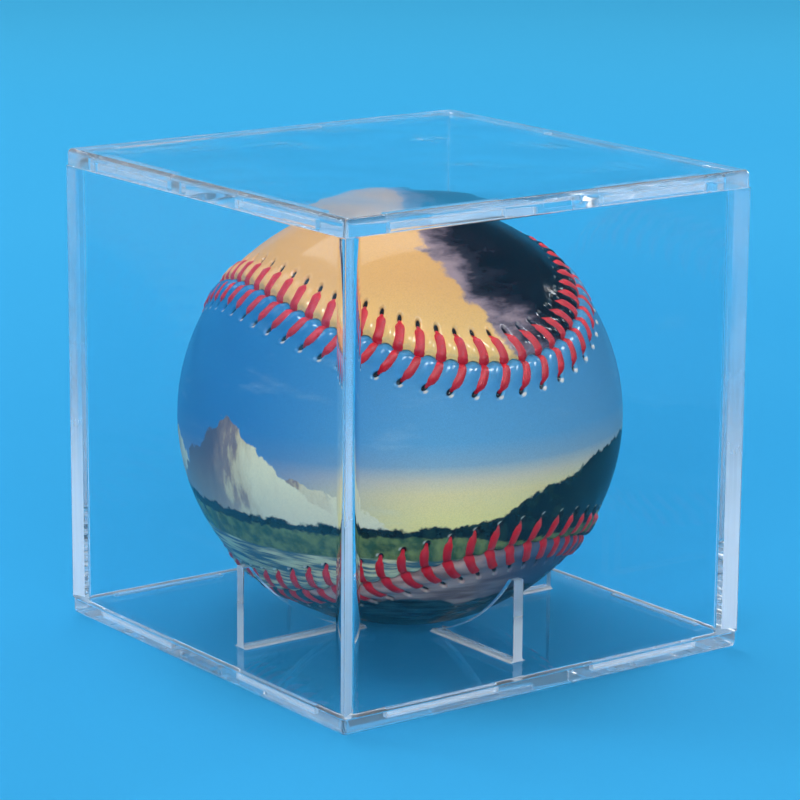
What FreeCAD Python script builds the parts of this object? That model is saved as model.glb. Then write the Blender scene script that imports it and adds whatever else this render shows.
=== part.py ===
import FreeCAD, Part

import math
import os

import Sketcher
from BOPTools import SplitAPI
from FreeCAD import Placement, Rotation, Vector

# A clear display case for one baseball. A base plate carries four cradle fins, four mitred walls
# plug into the base and a lid plugs onto the walls. The sewn ball stands on the fins.
# +Z is up, the origin is the middle of the base's underside and the front faces -Y.

# Driving dimensions, in millimetres and degrees
SIZES = {
    # Case, which is made around the ball
    "ball_side_gap": 1.8,
    "ball_head_gap": 4.0,
    "ball_floor_gap": 0.2,
    "base_thickness": 2.6,
    "lid_thickness": 2.8,
    "wall_thickness": 3.0,
    "seam_gap": 0.3,
    "plate_corner_radius": 1.0,
    "plate_edge_radius": 0.8,
    # Tongues of the walls and their slots in the plates
    "tongue_length": 22.0,
    "tongue_thickness": 1.5,
    "tongue_offset": 21.0,
    "slot_depth": 1.4,
    "slot_clearance": 0.15,
    # Gate recesses in the edges of the plates
    "gate_depth": 0.4,
    "lid_gate_length": 8.0,
    "lid_gate_height": 1.6,
    "lid_gate_offset": 1.1,
    "base_gate_length": 12.5,
    "base_gate_height": 1.2,
    # Cradle
    "fin_thickness": 2.0,
    "fin_wall_gap": 6.6,
    "fin_land": 1.5,
    "fin_tip_height": 0.3,
    "cradle_clearance": 0.5,
    # Ball, from the outside in
    "ball_diameter": 72.4,
    "ball_yaw": -3.8,
    "ball_roll": 47.6,
    "cover_thickness": 1.3,
    "finish_winding_thickness": 0.6,
    "third_winding_thickness": 2.2,
    "second_winding_thickness": 1.75,
    "red_rubber_thickness": 3.0,
    "black_rubber_thickness": 4.0,
    "cork_diameter": 20.6,
    "layer_clearance": 0.05,
    # Sewing
    "stitch_count": 108,
    "thread_width": 1.5,
    "stitch_rise": 0.6,
    "stitch_bite": 0.1,
    "stitch_reach": 4.6,
    "stitch_slant": 1.5,
    "stitch_parting": 0.55,
}

# Shape of the seam: how far the seam curve departs from a great circle, on a ball of radius 1
SEAM_SHARE = 0.285
# Points through which the seam curve is drawn, and steps that measure its length
SEAM_POINTS = 64
SEAM_STEPS = 4096

SIDE_ANGLES = {"right": 0, "back": 90, "left": 180, "front": 270}
FULL_TURN = 360
QUARTER_TURN = 90
EIGHTH_TURN = 45

# Sketcher's own indices: the root point, the vertical axis and the points of a curve
ROOT_INDEX = -1
VERTICAL_AXIS_INDEX = -2
START, END, CENTRE = range(1, 4)

doc = FreeCAD.newDocument("BaseballDisplayCase")
sheet = doc.addObject("Spreadsheet::Sheet", "Sizes")
for row, (alias, value) in enumerate(SIZES.items(), start=1):
    sheet.set(f"A{row}", alias)
    sheet.set(f"B{row}", str(value))
    sheet.setAlias(f"B{row}", alias)
doc.recompute()

pieces = []


def size(expression):
    """Value of an expression in the sheet's cells."""
    return float(sheet.evalExpression(expression))


def keep(piece, label):
    """Name a finished piece and list it for writing."""
    piece.Label = label
    pieces.append(piece)
    return piece


# Expressions that several pieces share
BALL_RADIUS = "(Sizes.ball_diameter / 2)"
BALL_HEIGHT = f"(Sizes.base_thickness + Sizes.ball_floor_gap + {BALL_RADIUS})"
LID_FOOT = f"({BALL_HEIGHT} + {BALL_RADIUS} + Sizes.ball_head_gap)"
WALL_FOOT = "(Sizes.base_thickness + Sizes.seam_gap)"
WALL_HEIGHT = f"({LID_FOOT} - Sizes.seam_gap - {WALL_FOOT})"
WALL_INNER = f"({BALL_RADIUS} + Sizes.ball_side_gap)"
HALF_WIDTH = f"({WALL_INNER} + Sizes.wall_thickness)"
TONGUE_HEIGHT = "(Sizes.slot_depth + Sizes.seam_gap)"
TONGUE_OUTER = f"({WALL_INNER} + Sizes.tongue_thickness)"
TONGUE_NEAR = "(Sizes.tongue_offset - Sizes.tongue_length / 2)"
TONGUE_FAR = "(Sizes.tongue_offset + Sizes.tongue_length / 2)"
COVER_INNER = f"({BALL_RADIUS} - Sizes.cover_thickness)"
STITCH_TOP = f"({BALL_RADIUS} + Sizes.stitch_rise)"


def plane(body, role):
    """Origin plane or axis of a body, by its role."""
    return next(item for item in body.Origin.OriginFeatures if item.Role == role)


def sketch_on(body, name, role, lift="0"):
    """Sketch on an origin plane of a body, lifted along the plane's normal."""
    sketch = body.newObject("Sketcher::SketchObject", name)
    sketch.AttachmentSupport = [(plane(body, role), "")]
    sketch.MapMode = "FlatFace"
    sketch.setExpression("AttachmentOffset.Base.z", lift)
    return sketch


def pin(sketch, curve, end, x=None, y=None):
    """Bind the place of a curve's end to expressions."""
    for kind, expression in (("DistanceX", x), ("DistanceY", y)):
        if expression is None:
            continue
        rule = Sketcher.Constraint(kind, ROOT_INDEX, START, curve, end, size(expression))
        name = f"{kind}_{curve}_{end}"
        sketch.renameConstraint(sketch.addConstraint(rule), name)
        sketch.setExpression(f"Constraints.{name}", expression)


def join(sketch, curves):
    """Tie the end of each curve to the start of the next, all round."""
    for curve, following in zip(curves, curves[1:] + curves[:1]):
        sketch.addConstraint(Sketcher.Constraint("Coincident", curve, END, following, START))


def polygon(sketch, corners):
    """Closed outline of straight lines through corners given as expressions."""
    points = [Vector(size(x), size(y), 0) for x, y in corners]
    curves = []
    for start, end in zip(points, points[1:] + points[:1]):
        curves.append(sketch.addGeometry(Part.LineSegment(start, end), False))
    join(sketch, curves)
    for curve, (x, y) in zip(curves, corners):
        pin(sketch, curve, START, x, y)


def rectangle(sketch, left, right, low, high):
    """Rectangle with sides given as expressions."""
    polygon(sketch, [(left, low), (right, low), (right, high), (left, high)])


def stadium(sketch, middle, height, length, width):
    """Slot outline with round ends, lying along the sketch's X."""
    half_width = f"({width} / 2)"
    half_run = f"(({length} - {width}) / 2)"
    left = f"({middle} - {half_run})"
    right = f"({middle} + {half_run})"
    low = f"({height} - {half_width})"
    high = f"({height} + {half_width})"
    radius = size(half_width)
    normal = Vector(0, 0, 1)
    lower = sketch.addGeometry(
        Part.LineSegment(Vector(size(left), size(low), 0), Vector(size(right), size(low), 0)), False)
    right_circle = Part.Circle(Vector(size(right), size(height), 0), normal, radius)
    right_end = sketch.addGeometry(
        Part.ArcOfCircle(right_circle, -math.pi / 2, math.pi / 2), False)
    upper = sketch.addGeometry(
        Part.LineSegment(Vector(size(right), size(high), 0), Vector(size(left), size(high), 0)), False)
    left_circle = Part.Circle(Vector(size(left), size(height), 0), normal, radius)
    left_end = sketch.addGeometry(
        Part.ArcOfCircle(left_circle, math.pi / 2, 3 * math.pi / 2), False)
    join(sketch, [lower, right_end, upper, left_end])
    pin(sketch, lower, START, left, low)
    pin(sketch, lower, END, right, low)
    pin(sketch, upper, START, right, high)
    pin(sketch, upper, END, left, high)
    pin(sketch, right_end, CENTRE, x=right)
    pin(sketch, left_end, CENTRE, x=left)


def pad(body, name, sketch, length, downward=False):
    """Solid grown from a sketch."""
    feature = body.newObject("PartDesign::Pad", name)
    feature.Profile = sketch
    feature.Reversed = downward
    feature.setExpression("Length", length)
    doc.recompute()
    return feature


def pocket(body, name, sketch, depth, reverse=False):
    """Cut from a sketch, which has to take material away."""
    before = body.Shape.Volume
    feature = body.newObject("PartDesign::Pocket", name)
    feature.Profile = sketch
    feature.Reversed = reverse
    feature.setExpression("Length", depth)
    doc.recompute()
    if not body.Shape.Volume < before:
        raise RuntimeError(f"{name} cuts nothing")
    return feature


def edges_where(shape, test):
    """Names of the edges of a shape whose end points pass a test."""
    names = []
    for number, edge in enumerate(shape.Edges, start=1):
        if test([vertex.Point for vertex in edge.Vertexes]):
            names.append(f"Edge{number}")
    return names


def round_edges(body, name, base, test, radius):
    """Fillet on the edges of a feature that pass a test."""
    feature = body.newObject("PartDesign::Fillet", name)
    feature.Base = (base, edges_where(base.Shape, test))
    feature.setExpression("Radius", radius)
    doc.recompute()
    return feature


def slot_rings(body, level, depth, upward):
    """Two slots along one side of a plate, repeated on the four sides."""
    sketch = sketch_on(body, "SlotPair", "XY_Plane", level)
    inner = f"({WALL_INNER} - Sizes.slot_clearance)"
    outer = f"({TONGUE_OUTER} + Sizes.slot_clearance)"
    near = f"({TONGUE_NEAR} - Sizes.slot_clearance)"
    far = f"({TONGUE_FAR} + Sizes.slot_clearance)"
    rectangle(sketch, inner, outer, near, far)
    rectangle(sketch, inner, outer, f"-{far}", f"-{near}")
    pair = pocket(body, "SlotPairCut", sketch, depth, reverse=upward)
    pattern = body.newObject("PartDesign::PolarPattern", "SlotRing")
    pattern.Originals = [pair]
    pattern.Axis = (plane(body, "Z_Axis"), [""])
    pattern.Angle = FULL_TURN
    pattern.Occurrences = len(SIDE_ANGLES)
    body.Tip = pattern
    doc.recompute()


def plate(label, thickness, outer_level, slot_level, slot_upward):
    """Square plate with round corners, a round outer rim and the slots for the walls."""
    body = doc.addObject("PartDesign::Body", label)
    sketch = sketch_on(body, "Plan", "XY_Plane")
    rectangle(sketch, f"-{HALF_WIDTH}", HALF_WIDTH, f"-{HALF_WIDTH}", HALF_WIDTH)
    slab = pad(body, "Slab", sketch, thickness)
    half_thickness = size(thickness) / 2
    rim_height = size(outer_level)

    def upright(points):
        return abs(points[0].z - points[-1].z) > half_thickness

    def on_rim(points):
        return all(abs(point.z - rim_height) < half_thickness for point in points)

    corners = round_edges(body, "Corners", slab, upright, "Sizes.plate_corner_radius")
    round_edges(body, "Rim", corners, on_rim, "Sizes.plate_edge_radius")
    slot_rings(body, slot_level, "Sizes.slot_depth", slot_upward)
    return keep(body, label)


# Base plate: slots open upwards, and a gate recess lies in the middle of its left edge
base = plate("base_plate", "Sizes.base_thickness", "0", "Sizes.base_thickness", False)
base_gate = sketch_on(base, "GateOutline", "YZ_Plane", f"-{HALF_WIDTH}")
stadium(base_gate, "0", "(Sizes.base_thickness / 2)", "Sizes.base_gate_length", "Sizes.base_gate_height")
pocket(base, "GateRecess", base_gate, "Sizes.gate_depth", reverse=True)

# Lid plate: slots open downwards, and a gate recess lies in its front edge
lid = plate("lid_plate", "Sizes.lid_thickness", "Sizes.lid_thickness", "0", True)
lid_gate = sketch_on(lid, "GateOutline", "XZ_Plane", HALF_WIDTH)
stadium(lid_gate, "Sizes.lid_gate_offset", "(Sizes.lid_thickness / 2)",
        "Sizes.lid_gate_length", "Sizes.lid_gate_height")
pocket(lid, "GateRecess", lid_gate, "Sizes.gate_depth")
lid.setExpression("Placement.Base.z", LID_FOOT)


def wall(side):
    """Panel with mitred ends and two tongues above and below, flush with its inner face."""
    body = doc.addObject("PartDesign::Body", f"wall_{side}")
    plan = sketch_on(body, "Plan", "XY_Plane")
    polygon(plan, [(HALF_WIDTH, f"-{HALF_WIDTH}"), (HALF_WIDTH, HALF_WIDTH),
                   (WALL_INNER, WALL_INNER), (WALL_INNER, f"-{WALL_INNER}")])
    pad(body, "Panel", plan, WALL_HEIGHT)
    for name, level, downward in (("Lower", "0", True), ("Upper", WALL_HEIGHT, False)):
        sketch = sketch_on(body, f"{name}Tongues", "XY_Plane", level)
        rectangle(sketch, WALL_INNER, TONGUE_OUTER, TONGUE_NEAR, TONGUE_FAR)
        rectangle(sketch, WALL_INNER, TONGUE_OUTER, f"-{TONGUE_FAR}", f"-{TONGUE_NEAR}")
        pad(body, f"{name}TonguePair", sketch, TONGUE_HEIGHT, downward)
    body.Placement = Placement(Vector(), Rotation(Vector(0, 0, 1), SIDE_ANGLES[side]))
    body.setExpression("Placement.Base.z", WALL_FOOT)
    return keep(body, f"wall_{side}")


def fin(side):
    """Upright fin whose concave edge follows the ball at a running distance from the stitches."""
    body = doc.addObject("PartDesign::Body", f"cradle_fin_{side}")
    sketch = sketch_on(body, "Profile", "XZ_Plane")
    foot = "Sizes.base_thickness"
    tip_top = "(Sizes.base_thickness + Sizes.fin_tip_height)"
    outer = f"({WALL_INNER} - Sizes.fin_wall_gap)"
    land_end = f"({outer} - Sizes.fin_land)"
    bowl_radius = f"({STITCH_TOP} + Sizes.cradle_clearance)"
    radius = size(bowl_radius)
    middle = Vector(0, size(BALL_HEIGHT), 0)
    tip_angle = -math.asin((size(BALL_HEIGHT) - size(tip_top)) / radius)
    land_angle = -math.acos(size(land_end) / radius)
    bowl = Part.ArcOfCircle(Part.Circle(middle, Vector(0, 0, 1), radius), tip_angle, land_angle)
    inner_foot = Vector(bowl.StartPoint.x, size(foot), 0)
    outer_foot = Vector(size(outer), size(foot), 0)
    outer_top = Vector(size(outer), bowl.EndPoint.y, 0)
    lines = [(bowl.StartPoint, inner_foot), (inner_foot, outer_foot),
             (outer_foot, outer_top), (outer_top, bowl.EndPoint)]
    tip, sole, back, land = [sketch.addGeometry(Part.LineSegment(*ends), False) for ends in lines]
    edge = sketch.addGeometry(bowl, False)
    for curve, following in ((tip, sole), (sole, back), (back, land)):
        sketch.addConstraint(Sketcher.Constraint("Coincident", curve, END, following, START))
    sketch.addConstraint(Sketcher.Constraint("Coincident", land, END, edge, END))
    sketch.addConstraint(Sketcher.Constraint("Coincident", edge, START, tip, START))
    sketch.addConstraint(Sketcher.Constraint("Vertical", tip))
    sketch.addConstraint(Sketcher.Constraint("Horizontal", land))
    sketch.addConstraint(Sketcher.Constraint("PointOnObject", edge, CENTRE, VERTICAL_AXIS_INDEX))
    pin(sketch, edge, CENTRE, y=BALL_HEIGHT)
    pin(sketch, tip, START, y=tip_top)
    pin(sketch, sole, START, y=foot)
    pin(sketch, sole, END, outer, foot)
    pin(sketch, land, START, x=outer)
    pin(sketch, land, END, x=land_end)
    bend = sketch.addConstraint(Sketcher.Constraint("Radius", edge, radius))
    sketch.renameConstraint(bend, "bowl_radius")
    sketch.setExpression("Constraints.bowl_radius", bowl_radius)
    blade = pad(body, "Blade", sketch, "Sizes.fin_thickness")
    blade.Midplane = True
    doc.recompute()
    body.Placement = Placement(Vector(), Rotation(Vector(0, 0, 1), SIDE_ANGLES[side]))
    return keep(body, f"cradle_fin_{side}")


for side_name in SIDE_ANGLES:
    wall(side_name)
    fin(side_name)


def sphere(name, radius, south=-QUARTER_TURN, north=QUARTER_TURN):
    """Sphere about the origin, or the part of it between two latitudes."""
    ball = doc.addObject("Part::Sphere", name)
    ball.Angle1 = south
    ball.Angle2 = north
    ball.setExpression("Radius", radius)
    return ball


def layer(label, outer, inner, south=-QUARTER_TURN, north=QUARTER_TURN):
    """Hollow layer of the ball."""
    shell = doc.addObject("Part::Cut", label)
    shell.Base = sphere(f"{label}_outside", outer, south, north)
    shell.Tool = sphere(f"{label}_inside", inner)
    shell.setExpression("Placement.Base.z", BALL_HEIGHT)
    doc.recompute()
    return keep(shell, label)


# Inside of the ball: windings from the cover inwards, then the rubber layers around the cork core
winding_outer = f"({COVER_INNER} - Sizes.layer_clearance)"
for winding_name in ("finish", "third", "second"):
    winding_inner = f"({winding_outer} - Sizes.{winding_name}_winding_thickness)"
    layer(f"ball_winding_{winding_name}", winding_outer, winding_inner)
    winding_outer = f"({winding_inner} - Sizes.layer_clearance)"

CORK_RADIUS = "(Sizes.cork_diameter / 2)"
black_inner = f"({CORK_RADIUS} + Sizes.layer_clearance)"
black_outer = f"({black_inner} + Sizes.black_rubber_thickness)"
red_inner = f"({black_outer} + Sizes.layer_clearance)"
red_outer = f"({red_inner} + Sizes.red_rubber_thickness)"
layer("ball_winding_first", winding_outer, f"({red_outer} + Sizes.layer_clearance)")
layer("ball_rubber_cover", red_outer, red_inner)
layer("ball_rubber_half_upper", black_outer, black_inner, south=0)
layer("ball_rubber_half_lower", black_outer, black_inner, north=0)
cork = sphere("ball_cork_core", CORK_RADIUS)
cork.setExpression("Placement.Base.z", BALL_HEIGHT)
keep(cork, "ball_cork_core")


def seam(angle):
    """Point of the seam on a ball of radius 1: a great circle bent twice up and twice down."""
    wide = 1 - SEAM_SHARE
    lift = 2 * math.sqrt(wide * SEAM_SHARE)
    return Vector(wide * math.cos(angle) + SEAM_SHARE * math.cos(3 * angle),
                  wide * math.sin(angle) - SEAM_SHARE * math.sin(3 * angle),
                  lift * math.sin(2 * angle))


def ball_placement():
    """Place of the sewn cover: the waist of one panel faces the front, rolled and turned as it lies."""
    turned = Rotation(Vector(0, 0, 1), size("Sizes.ball_yaw"))
    upright = Rotation(Vector(1, 0, 0), QUARTER_TURN)
    rolled = Rotation(Vector(0, 0, 1), size("Sizes.ball_roll"))
    return Placement(Vector(0, 0, size(BALL_HEIGHT)), turned * upright * rolled)


def seam_edge(radius):
    """Closed edge of the seam on a ball of a given radius."""
    turn = 2 * math.pi
    points = [seam(turn * step / SEAM_POINTS) * radius for step in range(SEAM_POINTS)]
    curve = Part.BSplineCurve()
    curve.interpolate(Points=points, PeriodicFlag=True)
    return curve.toShape()


def cover_panels():
    """The two figure-eight panels, front and back: a hollow ball parted by the cone over the seam."""
    outer = size(BALL_RADIUS)
    inner = size(COVER_INNER)
    overrun = size("Sizes.cover_thickness")
    shell = Part.makeSphere(outer).cut(Part.makeSphere(inner))
    # The spheres' own poles lie in the lobes of one panel, clear of the seam
    lobes = Rotation(Vector(0, 0, 1), EIGHTH_TURN) * Rotation(Vector(0, 1, 0), QUARTER_TURN)
    shell.Placement = Placement(Vector(), lobes * Rotation(Vector(0, 0, 1), QUARTER_TURN))
    parting = Part.makeRuledSurface(seam_edge(inner - overrun), seam_edge(outer + overrun))
    panels = SplitAPI.slice(shell, [parting], "Split").Solids
    waist = Part.Vertex(0, 0, (inner + outer) / 2)
    return sorted(panels, key=lambda panel: panel.distToShape(waist)[0])


def seam_places(count):
    """Points at even steps along the seam, each with its direction and the direction across."""
    turn = 2 * math.pi
    points = [seam(turn * step / SEAM_STEPS) for step in range(SEAM_STEPS + 1)]
    lengths = [0.0]
    for start, end in zip(points, points[1:]):
        lengths.append(lengths[-1] + (end - start).Length)
    places = []
    step = 0
    for number in range(count):
        wanted = lengths[-1] * number / count
        while lengths[step + 1] <= wanted:
            step += 1
        along = (points[step + 1] - points[step]).normalize()
        out = points[step]
        places.append((out, along, out.cross(along)))
    return places


def stitches():
    """Thread on the outside of the ball: two slanting arms at each place along the seam."""
    radius = size(BALL_RADIUS)
    half_thread = size("Sizes.thread_width") / 2
    axis_radius = size(STITCH_TOP) - half_thread
    reach = size("Sizes.stitch_reach")
    slant = size("Sizes.stitch_slant")
    parting = size("Sizes.stitch_parting")
    inside = Part.makeSphere(radius - size("Sizes.stitch_bite"))
    arms = []
    for out, along, across in seam_places(int(size("Sizes.stitch_count"))):
        for hand in (-1, 1):
            near = out * radius + across * (hand * parting)
            far = out * radius + across * (hand * reach) + along * slant
            start = near.normalize() * axis_radius
            end = far.normalize() * axis_radius
            run = end - start
            arms.append(Part.makeCylinder(half_thread, run.Length, start, run).cut(inside).Solids[0])
    return Part.makeCompound(arms)


def fixed_shape(label, shape):
    """Piece of the cover with a shape of its own, set on the ball's place."""
    piece = doc.addObject("Part::Feature", label)
    piece.Shape = shape
    piece.Placement = ball_placement()
    return keep(piece, label)


panel_front, panel_back = cover_panels()
fixed_shape("ball_cover_front", panel_front)
fixed_shape("ball_cover_back", panel_back)
fixed_shape("ball_stitching", stitches())

doc.recompute()
for item in doc.Objects:
    if "Invalid" in item.State or "Error" in item.State:
        raise RuntimeError(f"{item.Label} failed: {item.State}")
for piece in pieces:
    if piece.Shape.isNull() or not piece.Shape.isValid():
        raise RuntimeError(f"{piece.Label} has no valid shape")

os.makedirs("parts", exist_ok=True)
for piece in pieces:
    piece.Shape.exportStep(f"parts/{piece.Label}.step")
    box = piece.Shape.BoundBox
    print(piece.Label, len(piece.Shape.Solids), round(piece.Shape.Volume, 1),
          [round(value, 2) for value in (box.XMin, box.YMin, box.ZMin, box.XMax, box.YMax, box.ZMax)])
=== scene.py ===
import bmesh
import bpy
import numpy as np
from mathutils import Matrix, Vector


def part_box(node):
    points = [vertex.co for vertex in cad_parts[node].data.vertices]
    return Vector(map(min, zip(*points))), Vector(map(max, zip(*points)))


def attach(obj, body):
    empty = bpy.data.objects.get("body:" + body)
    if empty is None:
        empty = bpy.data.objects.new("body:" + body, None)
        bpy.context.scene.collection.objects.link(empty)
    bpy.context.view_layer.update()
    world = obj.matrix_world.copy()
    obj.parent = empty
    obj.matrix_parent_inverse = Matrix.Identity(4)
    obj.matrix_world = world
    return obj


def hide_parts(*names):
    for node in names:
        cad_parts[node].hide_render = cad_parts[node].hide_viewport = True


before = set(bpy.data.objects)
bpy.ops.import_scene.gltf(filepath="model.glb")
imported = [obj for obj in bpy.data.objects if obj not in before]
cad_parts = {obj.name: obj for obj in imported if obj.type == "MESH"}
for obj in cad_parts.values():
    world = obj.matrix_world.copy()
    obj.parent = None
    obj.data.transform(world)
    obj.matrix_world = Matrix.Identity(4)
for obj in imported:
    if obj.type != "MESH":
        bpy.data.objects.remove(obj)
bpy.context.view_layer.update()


# Base plate: a clear acrylic plate with a round lower rim and two slots along each side.
# It is moulded and polished, so the solid stays as it is and gets the clear finish.

def paint(red, green, blue):
    """Colour from screen values of 0 to 255: v / 12.92 for dark ones, else ((v + 0.055) / 1.055) ^ 2.4."""
    screen = np.array((red, green, blue)) / 255
    linear = np.where(screen < 0.04, screen / 12.92, ((screen + 0.055) / 1.055) ** 2.4)
    return (*linear.tolist(), 1.0)


def node(tree, kind, inputs, **settings):
    """Shader node of a kind, with its settings; an input takes a value, or a link from a socket."""
    made = tree.nodes.new("ShaderNode" + kind)
    for setting, value in settings.items():
        setattr(made, setting, value)
    for name, value in inputs.items():
        if isinstance(value, bpy.types.NodeSocket):
            tree.links.new(value, made.inputs[name])
        else:
            made.inputs[name].default_value = value
    return made


MM = 0.001
SOFT_EDGE = 0.05
RIM_FACE = 40.9
SLOT_OUTER = 40.3
BASE_SLOTS = (1.1, 2.5)
ACRYLIC_TINT = (0.945, 0.965, 0.98, 1.0)
ACRYLIC_SHADE = (0.95, 0.97, 0.985, 1.0)


def blank_finish(name):
    """Empty node material: the material, its node tree and the piece's own coordinates."""
    finish = bpy.data.materials.new(name)
    finish.use_nodes = True
    finish.node_tree.nodes.clear()
    coordinates = node(finish.node_tree, "TexCoord", {})
    return finish, finish.node_tree, coordinates


def speckle(tree, place, scale, detail=3.0, roughness=0.5):
    """Cloudy noise from 0 to 1, with scale in lumps per unit of place."""
    lumps = {"Vector": place, "Scale": scale, "Detail": detail, "Roughness": roughness}
    return node(tree, "TexNoise", lumps).outputs[0]


def rise(tree, value, low, high, bottom=0.0, top=1.0):
    """Smooth step from bottom to top while value goes from low to high."""
    ends = {"Value": value, "From Min": low, "From Max": high, "To Min": bottom, "To Max": top}
    return node(tree, "MapRange", ends, interpolation_type="SMOOTHSTEP").outputs[0]


def ripple(tree, height, strength, distance):
    """Bump from a height, with the distance in metres."""
    inputs = {"Height": height, "Strength": strength, "Distance": distance}
    return node(tree, "Bump", inputs).outputs[0]


def sums(tree, *terms):
    """Sum of pairs of a socket or number and its factor."""
    total = 0.0
    for value, factor in terms:
        inputs = {0: value, 1: factor, 2: total}
        total = node(tree, "Math", inputs, operation="MULTIPLY_ADD").outputs[0]
    return total


def above(tree, value, limit):
    """1 where a value in metres is over a limit in millimetres, with a soft edge a tenth of one wide."""
    return rise(tree, value, (limit - SOFT_EDGE) * MM, (limit + SOFT_EDGE) * MM)


def product(tree, first, second):
    """Product of two values."""
    return node(tree, "Math", {0: first, 1: second}, operation="MULTIPLY").outputs[0]


def sideways(tree, place):
    """Distance from the upright axis plane, the larger of |x| and |y|, and the height."""
    size = node(tree, "VectorMath", {0: place}, operation="ABSOLUTE").outputs[0]
    far = node(tree, "SeparateXYZ", {0: size}).outputs
    larger = node(tree, "Math", {0: far[0], 1: far[1]}, operation="MAXIMUM").outputs[0]
    return larger, node(tree, "SeparateXYZ", {0: place}).outputs[2]


def acrylic(name, cut, matt, frost, waves=0.05):
    """Acrylic glass of index 1.49 with a slightly wavy polish; where cut gives 1, as on sawn and milled
    faces, it is as rough as matt says and a share of it, the frost, is white. Light that falls on a matt
    surface goes straight through it."""
    finish, tree, coordinates = blank_finish(name)
    place = coordinates.outputs["Object"]
    swell = speckle(tree, place, 45.0, 1.0)
    marks = rise(tree, speckle(tree, place, 700.0, 3.0), 0.3, 0.7, matt, 2 * matt)
    polish = rise(tree, speckle(tree, place, 160.0, 4.0), 0.35, 0.75, 0.0, 0.03)
    sawn = cut(tree, place)
    finish_marks = node(tree, "Mix", {0: sawn, 2: polish, 3: marks}).outputs[0]
    glass = node(tree, "BsdfPrincipled", {
        "Base Color": ACRYLIC_TINT, "Roughness": finish_marks, "IOR": 1.49,
        "Specular IOR Level": 0.3, "Specular Tint": (0.3, 0.3, 0.3, 1.0),
        "Transmission Weight": sums(tree, (sawn, -frost), (1.0, 1.0)),
        "Normal": ripple(tree, swell, waves, 0.0004)})
    clear = node(tree, "BsdfTransparent", {"Color": ACRYLIC_SHADE})
    rays = node(tree, "LightPath", {})
    straight = node(tree, "Math", {
        0: rays.outputs["Is Shadow Ray"], 1: rays.outputs["Is Diffuse Ray"]}, operation="MAXIMUM")
    either = node(tree, "MixShader", {0: straight.outputs[0], 1: glass.outputs[0], 2: clear.outputs[0]})
    node(tree, "OutputMaterial", {"Surface": either.outputs[0]})
    return finish


def slots_and_rim(levels, slots, rim):
    """Cut shares of a plate: slots on its milled slots, between two levels, and rim on its outer faces."""
    def cut(tree, place):
        larger, height = sideways(tree, place)
        inside = sums(tree, (above(tree, larger, SLOT_OUTER), -slots), (slots, 1.0))
        milled = sums(tree, (above(tree, height, levels[0]), 1.0), (above(tree, height, levels[1]), -1.0))
        return sums(tree, (product(tree, inside, milled), 1.0), (above(tree, larger, RIM_FACE), rim))
    return cut


def dress(piece, finish):
    """Give a piece one finish."""
    piece.data.materials.clear()
    piece.data.materials.append(finish)


base_cut = slots_and_rim(BASE_SLOTS, slots=0.6, rim=0.3)
dress(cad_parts["base_plate"], acrylic("acrylic_base", base_cut, matt=0.07, frost=0.36))


# Cradle fins: four upright acrylic plates whose concave upper edges hold the ball like a bowl.
# Each one is cut from sheet, its edges are eased, and its foot is cemented to the base plate.

FIN_TIP = 0.3
FIN_EASE = 0.18
FOOT_GAP = 0.03
FOOT_FILLET = 0.7
END_FACE = 0.06
END_CLEAR_ABOVE = 13.0
# Below this height the fin's outer end is white as painted light.
END_PAINTED_LIGHT_BELOW = 8.0
fin_low, fin_high = np.array(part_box("cradle_fin_right")) / MM
winding_low, winding_high = np.array(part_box("ball_winding_finish")) / MM
WINDING_RADIUS = (winding_high[2] - winding_low[2]) / 2
WINDING_CENTRE = np.array((0.0, 0.0, (winding_high[2] + winding_low[2]) / 2))


def skin_faces(shape, caps):
    """Quads between neighbours i, i + 1 of rings j, j + 1, for batches of rings, with optional end caps."""
    at = np.arange(np.prod(shape)).reshape(shape)
    turned = np.roll(at, -1, -1)
    corners = (at[..., :-1, :], turned[..., :-1, :], turned[..., 1:, :], at[..., 1:, :])
    faces = np.stack(corners, -1).reshape(-1, 4).tolist()
    if caps:
        faces += at[..., 0, ::-1].reshape(-1, shape[-1]).tolist()
        faces += at[..., -1, :].reshape(-1, shape[-1]).tolist()
    return faces


def skin(name, rings, body, finish, caps=True, sharp=40.0, **marks):
    """Closed piece through rings of points in millimetres, smooth up to a sharp angle, on a body; marks
    are shares from 0 to 1 at the points, which the finish reads by name."""
    mesh = bpy.data.meshes.new(name)
    mesh.from_pydata((rings.reshape(-1, 3) * MM).tolist(), [], skin_faces(rings.shape[:-1], caps))
    for mark, shares in marks.items():
        values = mesh.attributes.new(mark, "FLOAT", "POINT").data
        values.foreach_set("value", shares.astype(np.float32).ravel())
    work = bmesh.new()
    work.from_mesh(mesh)
    bmesh.ops.remove_doubles(work, verts=work.verts, dist=1e-7)
    bmesh.ops.dissolve_degenerate(work, edges=work.edges, dist=1e-8)
    bmesh.ops.recalc_face_normals(work, faces=work.faces)
    work.to_mesh(mesh)
    work.free()
    mesh.polygons.foreach_set("use_smooth", np.ones(len(mesh.polygons), bool))
    mesh.set_sharp_from_angle(angle=np.radians(sharp))
    piece = bpy.data.objects.new(name, mesh)
    bpy.context.scene.collection.objects.link(piece)
    dress(piece, finish)
    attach(piece, body)
    return piece


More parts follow.
